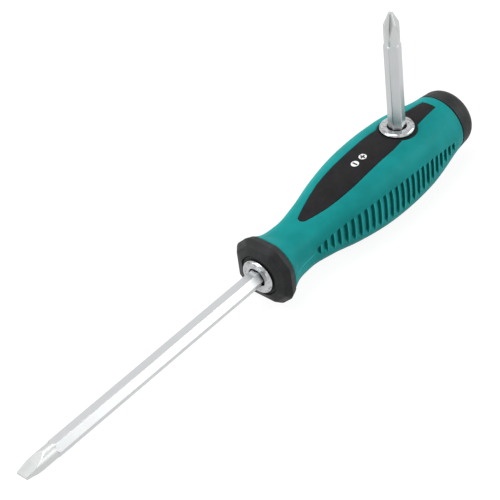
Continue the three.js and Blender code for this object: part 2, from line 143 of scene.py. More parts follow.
class ScrewdriverSizes(bpy.types.PropertyGroup):
    """Sizes of the pieces that a user would change."""
    wall: length("Rubber wall", "Thickness of the soft rubber", 2)
    seam: length("Seam", "Gap between the rubber and what it meets", 0.12)
    slot_count: bpy.props.IntProperty(name="Slots", description="Slots on each side", default=25, min=2)
    slot_first: length("First slot", "Place of the rearmost slot along the handle", 17.8)
    slot_pitch: length("Slot pitch", "Distance from one slot to the next", 3.22)
    slot_depth: length("Slot depth", "Depth of a slot at its rear wall", 1.05)
    slot_half_end: length("Half slot, ends", "Half length of the first and last slot", 1.9)
    slot_half_mid: length("Half slot, middle", "Half length of the longest slot", 6.8)
    ridge: length("Parting ridge", "Height of the moulding line at the nose", 0.16)
    tail_half: length("Panel tail", "Half width of the panel at its tail", 3.05)
    panel_half: length("Panel width", "Half width of the panel at its widest", 6.9)
    tip_radius: length("Panel tip", "Rounding of the panel's point", 2)
    collar_bevel: length("Collar bevel", "Depth of the collar's bevel along the handle", 2.2)
    cap_band: length("Cap band", "Width of the cap's straight band", 4.5)
    flange: length("Flange", "Thickness of the ferrules' flanges", 1.6)
    flats: length("Across flats", "Size of the hexagonal bar", 6)
    neck: length("Neck", "Diameter of the turned necks", 6.16)
    edge_width: length("Edge width", "Width of the slotted tip", 4.9)
    edge_thickness: length("Edge thickness", "Thickness of the slotted tip", 1)
    mark: length("Mark", "Diameter of a printed mark", 3.1)


class ScrewdriverColours(bpy.types.PropertyGroup):
    """Colours of the finishes."""
    rubber: colour("Rubber", "Soft grip", "#18908F")
    rubber_deep: colour("Rubber, deep", "Darker tone of the soft grip", "#148381")
    # Painted shade: a darker teal laid into the bottom of every slot
    painted_slot_shade: colour("Grime", "Dirt held in the slots", "#0A4442")
    # Painted highlight: a paler teal laid along the slot crests and the parting ridge
    crest_highlight_colour: colour("Rubbed", "Crests polished by the hand", "#30B8B2")
    plastic: colour("Plastic", "Collar, cap and core", "#242526")
    panel: colour("Panel", "Inlaid panel", "#181719")
    scuffed: colour("Scuffed", "Worn places of the black plastics", "#6A6A6A")
    chrome: colour("Chrome", "Plated blades and ferrules", "#BFC1C2")
    worn_chrome: colour("Worn chrome", "Dull patches of the ferrules", "#A6A8AA")
    bare: colour("Bare tips", "Shaped tips of the blades", "#C3C5C5")
    film: colour("Film", "Dark film in the flutes and on thin plating", "#77797A")
    # Dark spots on thin plating, and painted shade in the roots of the flutes
    steel: colour("Steel", "Hidden sockets, plates and rings", "#A3A4A6")
    oil: colour("Oil", "Film of oil on the hidden steel", "#77736C")
    ink: colour("Ink", "Printed marks", "#F2F3F3")
    unprinted: colour("Unprinted", "Panel seen through the marks", "#0B0B0C")
    floor: colour("Floor", "Paper under the tool", "#D3D3D3")


# Shapes

def smoothstep(value, start, end):
    """Eased step from 0 at start to 1 at end."""
    part = np.clip((value - start) / (end - start), 0, 1)
    return part * part * (3 - 2 * part)


def spline(at, stations, values):
    """Cubic through the stations, each slope being the distance-weighted mean of its neighbours'."""
    step = np.diff(stations)
    slope = np.diff(values) / step
    inner = (slope[:-1] * step[1:] + slope[1:] * step[:-1]) / (step[:-1] + step[1:])
    tangent = np.concatenate([slope[:1], inner, slope[-1:]])
    i = np.clip(np.searchsorted(stations, at, side="right") - 1, 0, len(step) - 1)
    t = (at - stations[i]) / step[i]
    rise = values[i] * (1 + 2 * t) * (1 - t) ** 2 + values[i + 1] * t * t * (3 - 2 * t)
    return rise + step[i] * t * (1 - t) * (tangent[i] * (1 - t) - tangent[i + 1] * t)


def girth(x):
    """Half width, half height and exponent of the handle's section at a place along it."""
    along = x - GRIP_REAR
    wide = spline(along, GIRTH[:, 0], GIRTH[:, 1])
    tall = spline(along, GIRTH[:, 0], GIRTH[:, 2])
    power = REAR_POWER + (BELLY_POWER - REAR_POWER) * smoothstep(along, *REAR_CHANGE)
    return wide, tall, power + (NOSE_POWER - power) * smoothstep(along, *NOSE_CHANGE)


def ring(angle, wide, tall, power):
    """Superellipse in polar form.

    The radius at an angle from +Y is (|cos/wide|^p + |sin/tall|^p)^(-1/p).
    """
    across = np.abs(np.cos(angle) / wide) ** power
    upward = np.abs(np.sin(angle) / tall) ** power
    radius = (across + upward) ** (-1 / power)
    return radius * np.cos(angle), radius * np.sin(angle)


def crown(x, y):
    """Height of the handle's top over a place in plan: tall times (1 - |y/wide|^p)^(1/p)."""
    wide, tall, power = girth(x)
    return tall * np.clip(1 - np.abs(y / wide) ** power, 0, 1) ** (1 / power)


def rounded(corners, radii, steps=6):
    """Polyline whose inner corners are replaced by arcs of the given radii."""
    corners = np.asarray(corners, float)
    points = [corners[:1]]
    for before, corner, after, radius in zip(corners, corners[1:], corners[2:], radii):
        back = (before - corner) / np.linalg.norm(before - corner)
        ahead = (after - corner) / np.linalg.norm(after - corner)
        half = math.acos(np.clip(back @ ahead, -1, 1)) / 2
        middle = (back + ahead) / np.linalg.norm(back + ahead)
        centre = corner + middle * radius / math.sin(half)
        start = corner + back * radius / math.tan(half) - centre
        side = corner + ahead * radius / math.tan(half) - centre
        part = np.linspace(0, 1, steps)[:, None]
        mixed = start * (1 - part) + side * part
        points.append(centre + mixed * radius / np.linalg.norm(mixed, axis=1)[:, None])
    points.append(corners[-1:])
    return np.concatenate(points)


def quads(rows, columns, wrap=True):
    """Faces of a grid of points, row by row; a wrapped grid joins its last column to the first."""
    i, j = np.meshgrid(np.arange(rows - 1), np.arange(columns if wrap else columns - 1), indexing="ij")
    k = (j + 1) % columns
    here, ahead = i * columns, (i + 1) * columns
    return np.stack([here + j, here + k, ahead + k, ahead + j], -1).reshape(-1, 4)


def revolved(profile, sides):
    """Turns a profile of radius and height round the axis: x and y are radius times cos and sin."""
    angle = np.linspace(0, 2 * np.pi, sides, endpoint=False)
    radius, height = profile[:, :1], profile[:, 1:]
    return np.stack([radius * np.cos(angle), radius * np.sin(angle), height + 0 * angle], -1)


def placed(points, origin, sideways, upward, outward):
    """Carries points from a piece's own axes to the shared frame."""
    return np.asarray(origin) + points @ np.array([sideways, upward, outward])


def front_place(points):
    """Axes of the long blade: out of the handle's nose, rolled a little about its length."""
    sine, cosine = math.sin(LONG_ROLL), math.cos(LONG_ROLL)
    return placed(points, (FRONT_FACE, 0, 0), (0, sine, -cosine), (0, cosine, sine), (1, 0, 0))


def cross_place(points):
    """Axes of the short blade: up out of the panel, rolled about its length."""
    sine, cosine = math.sin(SHORT_ROLL), math.cos(SHORT_ROLL)
    return placed(points, (CROSS_AT, 0, CROSS_FACE), (cosine, sine, 0), (-sine, cosine, 0), (0, 0, 1))


def cut_faces(faces, signed):
    """Drops the faces inside an outline and halves those that it crosses from corner to corner."""
    touch = 1e-9
    inside = signed[faces] < -touch
    outside = signed[faces] > touch
    count = inside.sum(1)
    kept = faces[count == 0]
    crossing = (count == 1) & (outside.sum(1) == 1)
    first = inside[crossing].argmax(1)[:, None]
    corners = np.take_along_axis(faces[crossing], (first + np.arange(1, 4)) % 4, 1)
    return kept, corners


def snap_mask(signed):
    """Marks the nearer end of every grid line that an outline crosses."""
    marked = np.zeros(signed.shape, bool)
    for axis in (0, 1):
        near = np.take(signed, range(signed.shape[axis] - 1), axis)
        far = np.take(signed, range(1, signed.shape[axis]), axis)
        crossing = near * far < 0
        first = crossing & (np.abs(near) <= np.abs(far))
        second = crossing & ~first
        pad_after = [(0, 1) if a == axis else (0, 0) for a in (0, 1)]
        pad_before = [(1, 0) if a == axis else (0, 0) for a in (0, 1)]
        marked |= np.pad(first, pad_after) | np.pad(second, pad_before)
    return marked


def shell(outer, inner, groups):
    """Closes two matching layers: outer faces, reversed inner faces and a wall along every open edge."""
    outer, inner = outer.reshape(-1, 3), inner.reshape(-1, 3)
    shift = len(outer)
    edges = np.concatenate([np.stack([g, np.roll(g, -1, 1)], -1).reshape(-1, 2) for g in groups])
    key = edges[:, 0].astype(np.int64) * shift + edges[:, 1]
    back = edges[:, 1].astype(np.int64) * shift + edges[:, 0]
    free = edges[~np.isin(key, back)]
    walls = np.stack([free[:, 1], free[:, 0], free[:, 0] + shift, free[:, 1] + shift], -1)
    faces = list(groups) + [g[:, ::-1] + shift for g in groups] + [walls]
    return np.concatenate([outer, inner]), faces


def make_object(name, points, groups, finish, body, node, sharp=40, wrapped=None, tones=()):
    """Makes one piece from points and groups of faces, and hangs it on its body.

    Points that coincide are merged, and edges sharper than the given angle stay crisp. A surface map and
    tones, where given, have one value for each point.
    """
    mesh = bpy.data.meshes.new(name)
    faces = [face for group in groups for face in group.tolist()]
    mesh.from_pydata(points.reshape(-1, 3).tolist(), [], faces)
    if wrapped is not None:
        layer = mesh.uv_layers.new(name="surface")
        corner = np.empty(len(mesh.loops), np.int32)
        mesh.loops.foreach_get("vertex_index", corner)
        layer.data.foreach_set("uv", wrapped.reshape(-1, 2)[corner].astype(np.float32).ravel())
    for key, values in dict(tones).items():
        layer = mesh.attributes.new(key, "FLOAT", "POINT")
        layer.data.foreach_set("value", values.astype(np.float32))
    work = bmesh.new()
    work.from_mesh(mesh)
    bmesh.ops.remove_doubles(work, verts=work.verts, dist=0.001 * MM)
    loose = [vertex for vertex in work.verts if not vertex.link_faces]
    bmesh.ops.delete(work, geom=loose, context="VERTS")
    work.to_mesh(mesh)
    work.free()
    mesh.polygons.foreach_set("use_smooth", np.ones(len(mesh.polygons), bool))
    mesh.set_sharp_from_angle(angle=math.radians(sharp))
    mesh.materials.append(finish)
    piece = bpy.data.objects.new(name, mesh)
    bpy.context.scene.collection.objects.link(piece)
    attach(piece, body)
    if node:
        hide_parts(*node)


# Finishes

def add(tree, kind, inputs=(), output=0, **settings):
    """Adds a node with its settings, fills or links its inputs and gives back one of its outputs."""
    made = tree.nodes.new(kind)
    for key, value in settings.items():
        setattr(made, key, value)
    for key, value in dict(inputs).items():
        if isinstance(value, bpy.types.NodeSocket):
            tree.links.new(value, made.inputs[key])
        else:
            made.inputs[key].default_value = value
    return made.outputs[output] if made.outputs else None


# A mix of two colours takes its factor at socket 0 and the colours at 6 and 7, and gives its result at 2
COLOUR_MIX = {"output": 2, "data_type": "RGBA"}


def new_finish(name):
    """An empty node material and its tree."""
    finish = bpy.data.materials.new(name)
    finish.use_nodes = True
    finish.node_tree.nodes.clear()
    return finish, finish.node_tree


def finish_of(name, maker, *values, **settings):
    """The material of that name, made when it is first asked for."""
    return bpy.data.materials.get(name) or maker(name, *values, **settings)


def cloudy(tree, where, grain, low, high, detail=2, rough=0.5, start=0.3, end=0.7):
    """Uneven patches of the given size: the middle of a noise is spread over a range of values."""
    pattern = add(tree, "ShaderNodeTexNoise", {
        "Vector": where, "Scale": 1 / grain, "Detail": detail, "Roughness": rough})
    return add(tree, "ShaderNodeMapRange", {
        "Value": pattern, "From Min": start, "From Max": end, "To Min": low, "To Max": high})


def grained(tree, where, grain, depth, strength, detail=3):
    """Surface broken by a noise of the given size and depth."""
    pattern = add(tree, "ShaderNodeTexNoise", {
        "Vector": where, "Scale": 1 / grain, "Detail": detail, "Roughness": 0.6})
    return add(tree, "ShaderNodeBump", {"Height": pattern, "Distance": depth, "Strength": strength})


# Moulded thermoplastic rubber: satin, slightly uneven in colour, with painted shade in its slots and a
# painted highlight on its crests; its spark-eroded grain is drawn coarser than the real one, so that it shows
def rubber_finish(name, colours):
    finish, tree = new_finish(name)
    where = add(tree, "ShaderNodeTexCoord", output="Object")
    # Painted shade at the bottom of the slots, darkening the rubber towards the deep dark teal
    painted_slot_shade = add(tree, "ShaderNodeAttribute", output="Fac", attribute_name="painted_slot_shade")
    # Painted highlight on the crests of the slots and on the parting ridge
    crest_highlight = add(tree, "ShaderNodeAttribute", output="Fac", attribute_name="crest_highlight")
    tone = cloudy(tree, where, 9 * MM, 0, 1, detail=3)
    slot_shade_amount = add(tree, "ShaderNodeMath", {0: painted_slot_shade, 1: 0.6}, operation="MULTIPLY")
    shine = add(tree, "ShaderNodeMath", {0: crest_highlight, 1: 0.85}, operation="MULTIPLY")
    base = add(tree, "ShaderNodeMix", {0: tone, 6: colours.rubber, 7: colours.rubber_deep}, **COLOUR_MIX)
    base = add(tree, "ShaderNodeMix", {0: slot_shade_amount, 6: base, 7: colours.painted_slot_shade}, **COLOUR_MIX)
    base = add(tree, "ShaderNodeMix", {0: shine, 6: base, 7: colours.crest_highlight_colour}, **COLOUR_MIX)
    shader = add(tree, "ShaderNodeBsdfPrincipled", {
        "Base Color": base,
        "Roughness": cloudy(tree, where, 2 * MM, 0.46, 0.58),
        "Specular IOR Level": 0.06,
        "Normal": grained(tree, where, 0.22 * MM, 0.02 * MM, 0.5)})
    add(tree, "ShaderNodeOutputMaterial", {"Surface": shader})
    return finish


# Moulded black polypropylene: matt, worn a little lighter here and there; its mould grain is drawn coarser
# than the real one, so that it shows
def plastic_finish(name, colours, base, grain, depth, rough, worn, sheen):
    finish, tree = new_finish(name)
    where = add(tree, "ShaderNodeTexCoord", output="Object")
    wear = cloudy(tree, where, 5 * MM, 0, worn, detail=4, rough=0.65)
    shader = add(tree, "ShaderNodeBsdfPrincipled", {
        "Base Color": add(tree, "ShaderNodeMix", {0: wear, 6: base, 7: colours.scuffed}, **COLOUR_MIX),
        "Roughness": cloudy(tree, where, 1.5 * MM, *rough),
        "Specular IOR Level": sheen,
        "Normal": grained(tree, where, grain, depth, 0.6)})
    add(tree, "ShaderNodeOutputMaterial", {"Surface": shader})
    return finish


# Satin chrome over a ground bar: lines along its length, in the surface map's long direction and coarser
# than real ones, so that they show; the shaped tips are paler, and the roots of the flutes get painted shade
def ground_finish(name, colours):
    finish, tree = new_finish(name)
    where = add(tree, "ShaderNodeTexCoord", output="Object")
    surface = add(tree, "ShaderNodeTexCoord", output="UV")
    stretched = add(tree, "ShaderNodeMapping", {"Vector": surface, "Scale": (1, 0.012, 1)})
    shaped = add(tree, "ShaderNodeAttribute", output="Fac", attribute_name="shaped")
    # Painted shade in the roots of the flutes of the crossed tips
    film = add(tree, "ShaderNodeAttribute", output="Fac", attribute_name="film")
    base = add(tree, "ShaderNodeMix", {0: shaped, 6: colours.chrome, 7: colours.bare}, **COLOUR_MIX)
    shader = add(tree, "ShaderNodeBsdfPrincipled", {
        "Base Color": add(tree, "ShaderNodeMix", {0: film, 6: base, 7: colours.film}, **COLOUR_MIX),
        "Metallic": 1.0,
        "Roughness": cloudy(tree, where, 6 * MM, 0.28, 0.38),
        "Normal": grained(tree, stretched, 0.09 * MM, 0.002 * MM, 0.35)})
    add(tree, "ShaderNodeOutputMaterial", {"Surface": shader})
    return finish


# Bright chrome plate over a turned blank: near mirror, mottled by an uneven polish, spotted where it is thin
def polished_finish(name, colours):
    finish, tree = new_finish(name)
    where = add(tree, "ShaderNodeTexCoord", output="Object")
    mottle = cloudy(tree, where, 1.9 * MM, 0, 1, detail=3, rough=0.6, start=0.4, end=0.65)
    spots = cloudy(tree, where, 1.2 * MM, 0, 0.8, start=0.55, end=0.68)
    base = add(tree, "ShaderNodeMix", {0: mottle, 6: colours.chrome, 7: colours.worn_chrome}, **COLOUR_MIX)
    shader = add(tree, "ShaderNodeBsdfPrincipled", {
        "Base Color": add(tree, "ShaderNodeMix", {0: spots, 6: base, 7: colours.film}, **COLOUR_MIX),
        "Metallic": 1.0,
        "Roughness": cloudy(tree, where, 1.3 * MM, 0.06, 0.16, detail=4, rough=0.6),
        "Normal": grained(tree, where, 1.3 * MM, 0.08 * MM, 0.6, detail=4)})
    add(tree, "ShaderNodeOutputMaterial", {"Surface": shader})
    return finish


# Plain pressed steel of the hidden pieces: grey and half dull, with a thin film of oil
def steel_finish(name, colours):
    finish, tree = new_finish(name)
    where = add(tree, "ShaderNodeTexCoord", output="Object")
    oily = cloudy(tree, where, 3 * MM, 0, 0.3, detail=3)
    shader = add(tree, "ShaderNodeBsdfPrincipled", {
        "Base Color": add(tree, "ShaderNodeMix", {0: oily, 6: colours.steel, 7: colours.oil}, **COLOUR_MIX),
        "Metallic": 1.0,
        "Roughness": cloudy(tree, where, 3 * MM, 0.28, 0.42, detail=3)})
    add(tree, "ShaderNodeOutputMaterial", {"Surface": shader})
    return finish


# White printing ink: flat and even round an unprinted plus or minus, which the mark's own map cuts out
def mark_finish(name, colours, plus):
    finish, tree = new_finish(name)
    where = add(tree, "ShaderNodeTexCoord", output="Object")
    surface = add(tree, "ShaderNodeTexCoord", output="UV")
    split = add(tree, "ShaderNodeSeparateXYZ", {"Vector": surface}).node.outputs
    along = add(tree, "ShaderNodeMath", {0: split["X"]}, operation="ABSOLUTE")
    across = add(tree, "ShaderNodeMath", {0: split["Y"]}, operation="ABSOLUTE")

    def bar(thin, long):
        """1 inside a bar, whose half width and half length are shares of the mark's radius."""
        narrow = add(tree, "ShaderNodeMath", {0: thin, 1: 0.24}, operation="LESS_THAN")
        short = add(tree, "ShaderNodeMath", {0: long, 1: 0.74}, operation="LESS_THAN")
        return add(tree, "ShaderNodeMath", {0: narrow, 1: short}, operation="MULTIPLY")

    cut = bar(along, across)
    if plus:
        cut = add(tree, "ShaderNodeMath", {0: cut, 1: bar(across, along)}, operation="MAXIMUM")
    base = add(tree, "ShaderNodeMix", {0: cut, 6: colours.ink, 7: colours.unprinted}, **COLOUR_MIX)
    shader = add(tree, "ShaderNodeBsdfPrincipled", {
        "Base Color": base,
        "Roughness": cloudy(tree, where, 0.15 * MM, 0.42, 0.55)})
    add(tree, "ShaderNodeOutputMaterial", {"Surface": shader})
    return finish


def hard_plastic(colours):
    """Coarse-grained plastic of the collar, the cap and the core."""
    return finish_of("grained_black_plastic", plastic_finish, colours, colours.plastic, grain=0.3 * MM,
                     depth=0.03 * MM, rough=(0.44, 0.58), worn=0.12, sheen=0.12)


def panel_plastic(colours):
    """Fine-grained plastic of the panel."""
    return finish_of("fine_black_plastic", plastic_finish, colours, colours.panel, grain=0.14 * MM,
                     depth=0.01 * MM, rough=(0.5, 0.62), worn=0.05, sheen=0.1)


# Outline of the panel

def panel_outline(sizes, count=360):
    """Half outline in plan, widened to the round boss under the cross ferrule.

    Straight flanks widen from the tail, a cubic curve runs to the point and an arc closes the nose.
    """
    full, bend = PANEL_TAIL + 32 * MM, PANEL_TAIL + 39 * MM
    lean = math.radians(70)
    centre = PANEL_TIP - sizes.tip_radius
    tip = np.array([centre + sizes.tip_radius * math.cos(lean), sizes.tip_radius * math.sin(lean)])
    pull = 0.4 * (tip[0] - bend)
    t = np.linspace(0, 1, count // 2)[:, None]
    controls = np.array([
        [bend, sizes.panel_half],
        [bend + pull, sizes.panel_half],
        [tip[0] - pull, tip[1] + pull / math.tan(lean)],
        tip,
    ])
    weights = np.concatenate([(1 - t) ** 3, 3 * t * (1 - t) ** 2, 3 * t * t * (1 - t), t ** 3], 1)
    curve = weights @ controls
    turn = np.linspace(lean, 0, 24)[1:, None]
    nose = np.concatenate([centre + sizes.tip_radius * np.cos(turn), sizes.tip_radius * np.sin(turn)], 1)
    flank = np.linspace([PANEL_TAIL, sizes.tail_half], [full, sizes.panel_half], count // 4)
    line = np.concatenate([flank, curve, nose])
    round_boss = CROSS_AT + BOSS_RADIUS * np.cos(np.linspace(0, np.pi, count // 4))
    along = np.unique(np.concatenate([line[:, 0], round_boss]))
    spear = np.interp(along, line[:, 0], line[:, 1])
    boss = np.sqrt(np.clip(BOSS_RADIUS ** 2 - (along - CROSS_AT) ** 2, 0, None))
    return along, np.maximum(spear, boss)


def to_outline(x, y, sizes):
    """Signed distance in plan from the panel's outline, negative inside, and the nearest place on it."""
    along, half = panel_outline(sizes)
    line = np.concatenate([[[along[0], 0]], np.stack([along, half], 1)])
    plan = np.stack([x.ravel(), np.abs(y).ravel()], 1)
    best = np.full(len(plan), np.inf)
    near = np.zeros_like(plan)
    for start, run in zip(line[:-1], np.diff(line, axis=0)):
        share = np.clip(((plan - start) @ run) / (run @ run), 0, 1)
        foot = start + share[:, None] * run
        away = np.hypot(*(plan - foot).T)
        closer = away < best
        best = np.where(closer, away, best)
        near = np.where(closer[:, None], foot, near)
    within = (plan[:, 0] > along[0]) & (plan[:, 0] < along[-1])
    within &= plan[:, 1] < np.interp(plan[:, 0], along, half)
    signed = np.where(within, -best, best)
    side = np.where(y.ravel() < 0, -1, 1)
    return signed.reshape(x.shape), near[:, 0].reshape(x.shape), (near[:, 1] * side).reshape(x.shape)


# Pieces

def grip_stations(sizes):
    """Places along the rubber: close together across every slot, wider at both ends."""
    offsets = MM * np.array([-1.4, -1.1, -1.03, -0.97, -0.91, -0.85, -0.78, -0.4, 0.1, 0.6, 1.1])
    centres = sizes.slot_first + sizes.slot_pitch * np.arange(sizes.slot_count)
    middle = (centres[:, None] + offsets).ravel()
    rear = GRIP_REAR + MM * np.array([0, 0.06, 0.14, 0.25, 0.4])
    rear = np.concatenate([rear, np.linspace(GRIP_REAR + 1 * MM, middle[0] - 0.5 * MM, 10)])
    nose = np.linspace(middle[-1] + 0.4 * MM, RUBBER_FRONT - 0.3 * MM, 26)
    return np.concatenate([rear, middle, nose, [RUBBER_FRONT - 0.12 * MM, RUBBER_FRONT]])


def grip_angles():
    """Angles round the rubber from +Y: close together at the window, the slots and the parting line."""
    parts = [(-90, -30, 16), (-30, -2, 15), (-2, 2, 6), (2, 30, 15), (30, 50, 7), (50, 90, 27)]
    right = np.concatenate([np.linspace(a, b, n, endpoint=False) for a, b, n in parts])
    left = 180 - np.concatenate([right[1:], [90]])[::-1]
    return np.radians(np.concatenate([right, left]))


def slot_relief(x, z, sizes):
    """Depth of the slots, a painted highlight on their crests and painted shade in their bottoms.

    Each tooth falls gently to the rear, drops into its slot and meets the steep wall of the next tooth.
    The slots rise to the surface at the edge of a lens, sooner below than above, so that their ends are
    pointed. Places across a slot are in millimetres from its middle.
    """
    number = np.round((x - sizes.slot_first) / sizes.slot_pitch)
    number = np.clip(number, 0, sizes.slot_count - 1)
    offset = (x - sizes.slot_first - number * sizes.slot_pitch) / MM
    depth_at = [-2.2, -1.61, -1.1, -1.03, -0.97, -0.91, -0.85, -0.78, 0.1, 1.1, 1.61, 2.2]
    profile = np.interp(offset, depth_at, [0, 0.07, 0.01, 0, 0.05, 0.5, 0.92, 1, 0.66, 0.22, 0.07, 0])
    # Painted highlight along the top edge of each tooth's steep wall
    crest_highlight = np.interp(offset, [-1.7, -1.4, -1.1, -1.03, -0.97], [0, 0.3, 1, 1, 0])
    # Painted shade: darkest at the bottom of each slot, fading up the tooth in front of it
    shade_at = [-1.03, -0.97, -0.91, -0.78, -0.4, 0.1, 0.6, 1.1]
    painted_slot_shade = np.interp(offset, shade_at, [0, 0.4, 1, 1, 0.8, 0.45, 0.2, 0])

    field = sizes.slot_pitch * (sizes.slot_count - 1)
    swell = np.sin(np.pi * np.clip((x - sizes.slot_first) / field, 0, 1)) ** 0.8
    half = sizes.slot_half_end + (sizes.slot_half_mid - sizes.slot_half_end) * swell
    inside = 1 - smoothstep(np.abs(z), half - 0.6 * MM, half)
    upper, lower = 1 * MM, np.minimum(2.6 * MM, 0.8 * half)
    rise = smoothstep(np.abs(z), half - np.where(z > 0, upper, lower), half + 0.45 * MM)
    profile = np.maximum(profile - rise, 0)
    painted_slot_shade = np.maximum(painted_slot_shade - rise, 0)
    return sizes.slot_depth * profile * inside, crest_highlight * inside, painted_slot_shade * inside


def nose_ridge(x, z):
    """Parting line at the nose: a bell across each side, faded out at the slots and at the collar."""
    fade_in, fade_out = MM * np.array([[96.5, 99], [110, 112]])
    nose = smoothstep(x, *fade_in) * (1 - smoothstep(x, *fade_out))
    return np.exp(-(z / (0.28 * MM)) ** 2) * nose


def build_grip(sizes, colours):
    """Rubber skin: superellipse rings along the girth, with its window, slots and parting ridge.

    The grid's points nearest to the spear window's edge are moved onto it, and the faces inside are dropped.
    Slots and ridge move points along the section's normal, and both ends are turned in by a quarter round.
    """
    stations = grip_stations(sizes)
    angles = grip_angles()
    x = np.repeat(stations[:, None], len(angles), 1)
    wide, tall, power = [value[:, None] for value in girth(np.clip(stations, GRIP_REAR, GRIP_FRONT))]
    y, z = ring(angles[None], wide, tall, power)
    normal_y = np.sign(y) * np.abs(y / wide) ** (power - 1) / wide
    normal_z = np.sign(z) * np.abs(z / tall) ** (power - 1) / tall
    size = np.hypot(normal_y, normal_z)
    normal = np.stack([0 * x, normal_y / size, normal_z / size], -1)

    top = z > 0.4 * tall
    lip = 0.12 * MM
    signed = np.full(x.shape, 1.0)
    near_x, near_y = x.copy(), y.copy()
    signed[top], near_x[top], near_y[top] = to_outline(x[top], y[top], sizes)
    outward = np.where(signed < 0, -1, 1)[..., None]
    signed = signed - sizes.seam
    marked = snap_mask(signed)
    shift = np.stack([x - near_x, y - near_y], -1)
    away = outward * shift / np.maximum(np.linalg.norm(shift, axis=-1, keepdims=True), 1e-9)
    edge_x = near_x + away[..., 0] * sizes.seam
    edge_y = near_y + away[..., 1] * sizes.seam
    on_edge = np.stack([edge_x, edge_y, crown(edge_x, edge_y) - lip], -1)
    points = np.where(marked[..., None], on_edge, np.stack([x, y, z], -1))
    signed = np.where(marked, 0, signed)

    # The relief comes with a painted highlight for the slot crests and painted shade for the slot bottoms
    relief, crest_highlight, painted_slot_shade = slot_relief(x, z, sizes)
    ridge = nose_ridge(x, z)
    relief = relief - sizes.ridge * ridge
    # The parting ridge gets the same painted highlight as the crests
    crest_highlight = np.maximum(crest_highlight, 0.9 * ridge)
    turned_in, turn_width = 0.3 * MM, 0.4 * MM
    from_end = np.minimum(x - GRIP_REAR, RUBBER_FRONT - x)
    relief = relief + turned_in * np.clip(1 - from_end / turn_width, 0, 1) ** 2
    plain_top = (z > 0.6 * tall) & (relief > 0) & (from_end > turn_width)
    relief = np.where(marked | plain_top, 0, relief)

    outer = points - relief[..., None] * normal
    inner = points - sizes.wall * normal
    groups = cut_faces(quads(*x.shape), signed.ravel())
    points, faces = shell(outer, inner, groups)
    untoned_inner = np.zeros(x.size)
    # Tones for the skin: painted shade in the slots and a painted highlight on the crests; the inner layer
    # gets none
    tones = {
        "painted_slot_shade": np.concatenate([painted_slot_shade.ravel(), untoned_inner]),
        "crest_highlight": np.concatenate([crest_highlight.ravel(), untoned_inner]),
    }
    finish = finish_of("moulded_soft_rubber", rubber_finish, colours)
    make_object("visual_grip_sleeve", points, faces, finish, "handle", ("grip_sleeve",),
                tones=tones)


def build_panel(sizes, colours):
    """Spear panel: a grid from edge to edge that follows the handle's top.

    Its edge falls in a small round, and round the cross ferrule it is faced flat and bored.
    """
    along, half = panel_outline(sizes)
    tail, tip, about = PANEL_TAIL + 0.6 * MM, PANEL_TIP - 2 * MM, 9 * MM
    runs = [(PANEL_TAIL, tail, 5), (tail, CROSS_AT - about, 26), (CROSS_AT - about, CROSS_AT + about, 60),
            (CROSS_AT + about, tip, 90), (tip, PANEL_TIP, 18)]
    stations = np.concatenate([np.linspace(a, b, n, endpoint=False) for a, b, n in runs] + [[PANEL_TIP]])
    even = np.linspace(-1, 1, 57)
    across = 0.5 * np.sin(even * np.pi / 2) + 0.5 * even
    reach = np.maximum(np.interp(stations, along, half), 0.02 * MM)
    x = np.repeat(stations[:, None], len(across), 1)
    y = reach[:, None] * across

    from_axis = np.hypot(x - CROSS_AT, y)
    facing, bore = FLANGE_RADIUS + 0.3 * MM, 6.5 * MM
    for radius in (facing, bore):
        marked = snap_mask(from_axis - radius)
        scale = np.where(marked, radius / np.maximum(from_axis, 1e-9), 1)
        x = CROSS_AT + (x - CROSS_AT) * scale
        y = y * scale
        from_axis = np.where(marked, radius, from_axis)

    distance = -to_outline(x, y, sizes)[0]
    edge, steepness = 0.35 * MM, 0.6
    fall = edge - np.sqrt(np.clip(edge ** 2 - np.clip(edge - distance, 0, edge) ** 2, 0, None))
    seat = CROSS_FACE - 1.9 * MM
    thickness = 1.6 * MM
    z = crown(x, y) - steepness * fall
    z = np.where(from_axis < facing - 1e-8, np.minimum(z, seat), z)
    outer = np.stack([x, y, z], -1)
    inner = np.stack([x, y, z - thickness], -1)
    groups = cut_faces(quads(*x.shape, wrap=False)[:, ::-1], (from_axis - bore).ravel())
    points, faces = shell(outer, inner, groups)
    make_object("visual_panel_inlay", points, faces, panel_plastic(colours), "handle", ("panel_inlay",))


def cut_square(corner, turn, steps=28):
    """Outline of a square of half width 1 with cut corners.

    The cuts lie at the given distance, and every corner is an arc of the given radius.
    """
    side = np.arange(8)[:, None] * np.pi / 4
    here = np.where(np.arange(8)[:, None] % 2, corner, 1) - turn
    along = (np.roll(here, -1) - here * math.cos(np.pi / 4)) / math.sin(np.pi / 4)
    angle = side + np.linspace(0, np.pi / 4, steps)
    x = here * np.cos(side) - along * np.sin(side) + turn * np.cos(angle)
    y = here * np.sin(side) + along * np.cos(side) + turn * np.sin(angle)
    return np.stack([x, y], -1).reshape(-1, 2)


